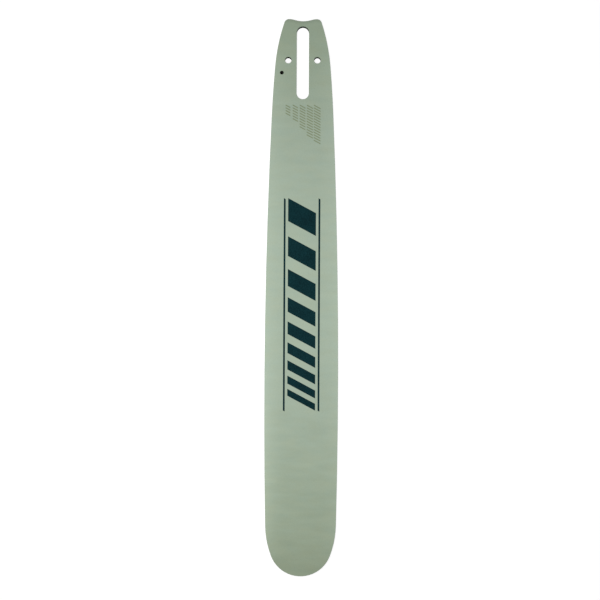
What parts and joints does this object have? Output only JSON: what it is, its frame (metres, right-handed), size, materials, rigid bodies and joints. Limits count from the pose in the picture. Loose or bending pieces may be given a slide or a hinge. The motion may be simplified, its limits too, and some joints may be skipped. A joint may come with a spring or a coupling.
{
  "type": "chainsaw guide bar",
  "caption": "Flat hard-nose steel guide bar for a chainsaw, with a chain groove along its whole edge and a tail with a stud slot, tensioner pin holes and oil holes.",
  "frame": {"origin": "middle of the stud slot, on the lower face", "axes": "+X along the bar from tail to nose, +Y across it, +Z through the thickness towards the upper face"},
  "size_m": [0.5799, 0.0766, 0.0048],
  "materials": {
    "coated_steel": "satin grey-green coating over ground steel",
    "print_ink": "matte printed ink"
  },
  "bodies": {
    "root": {"guide_bar": "coated_steel"}
  },
  "joints": []
}
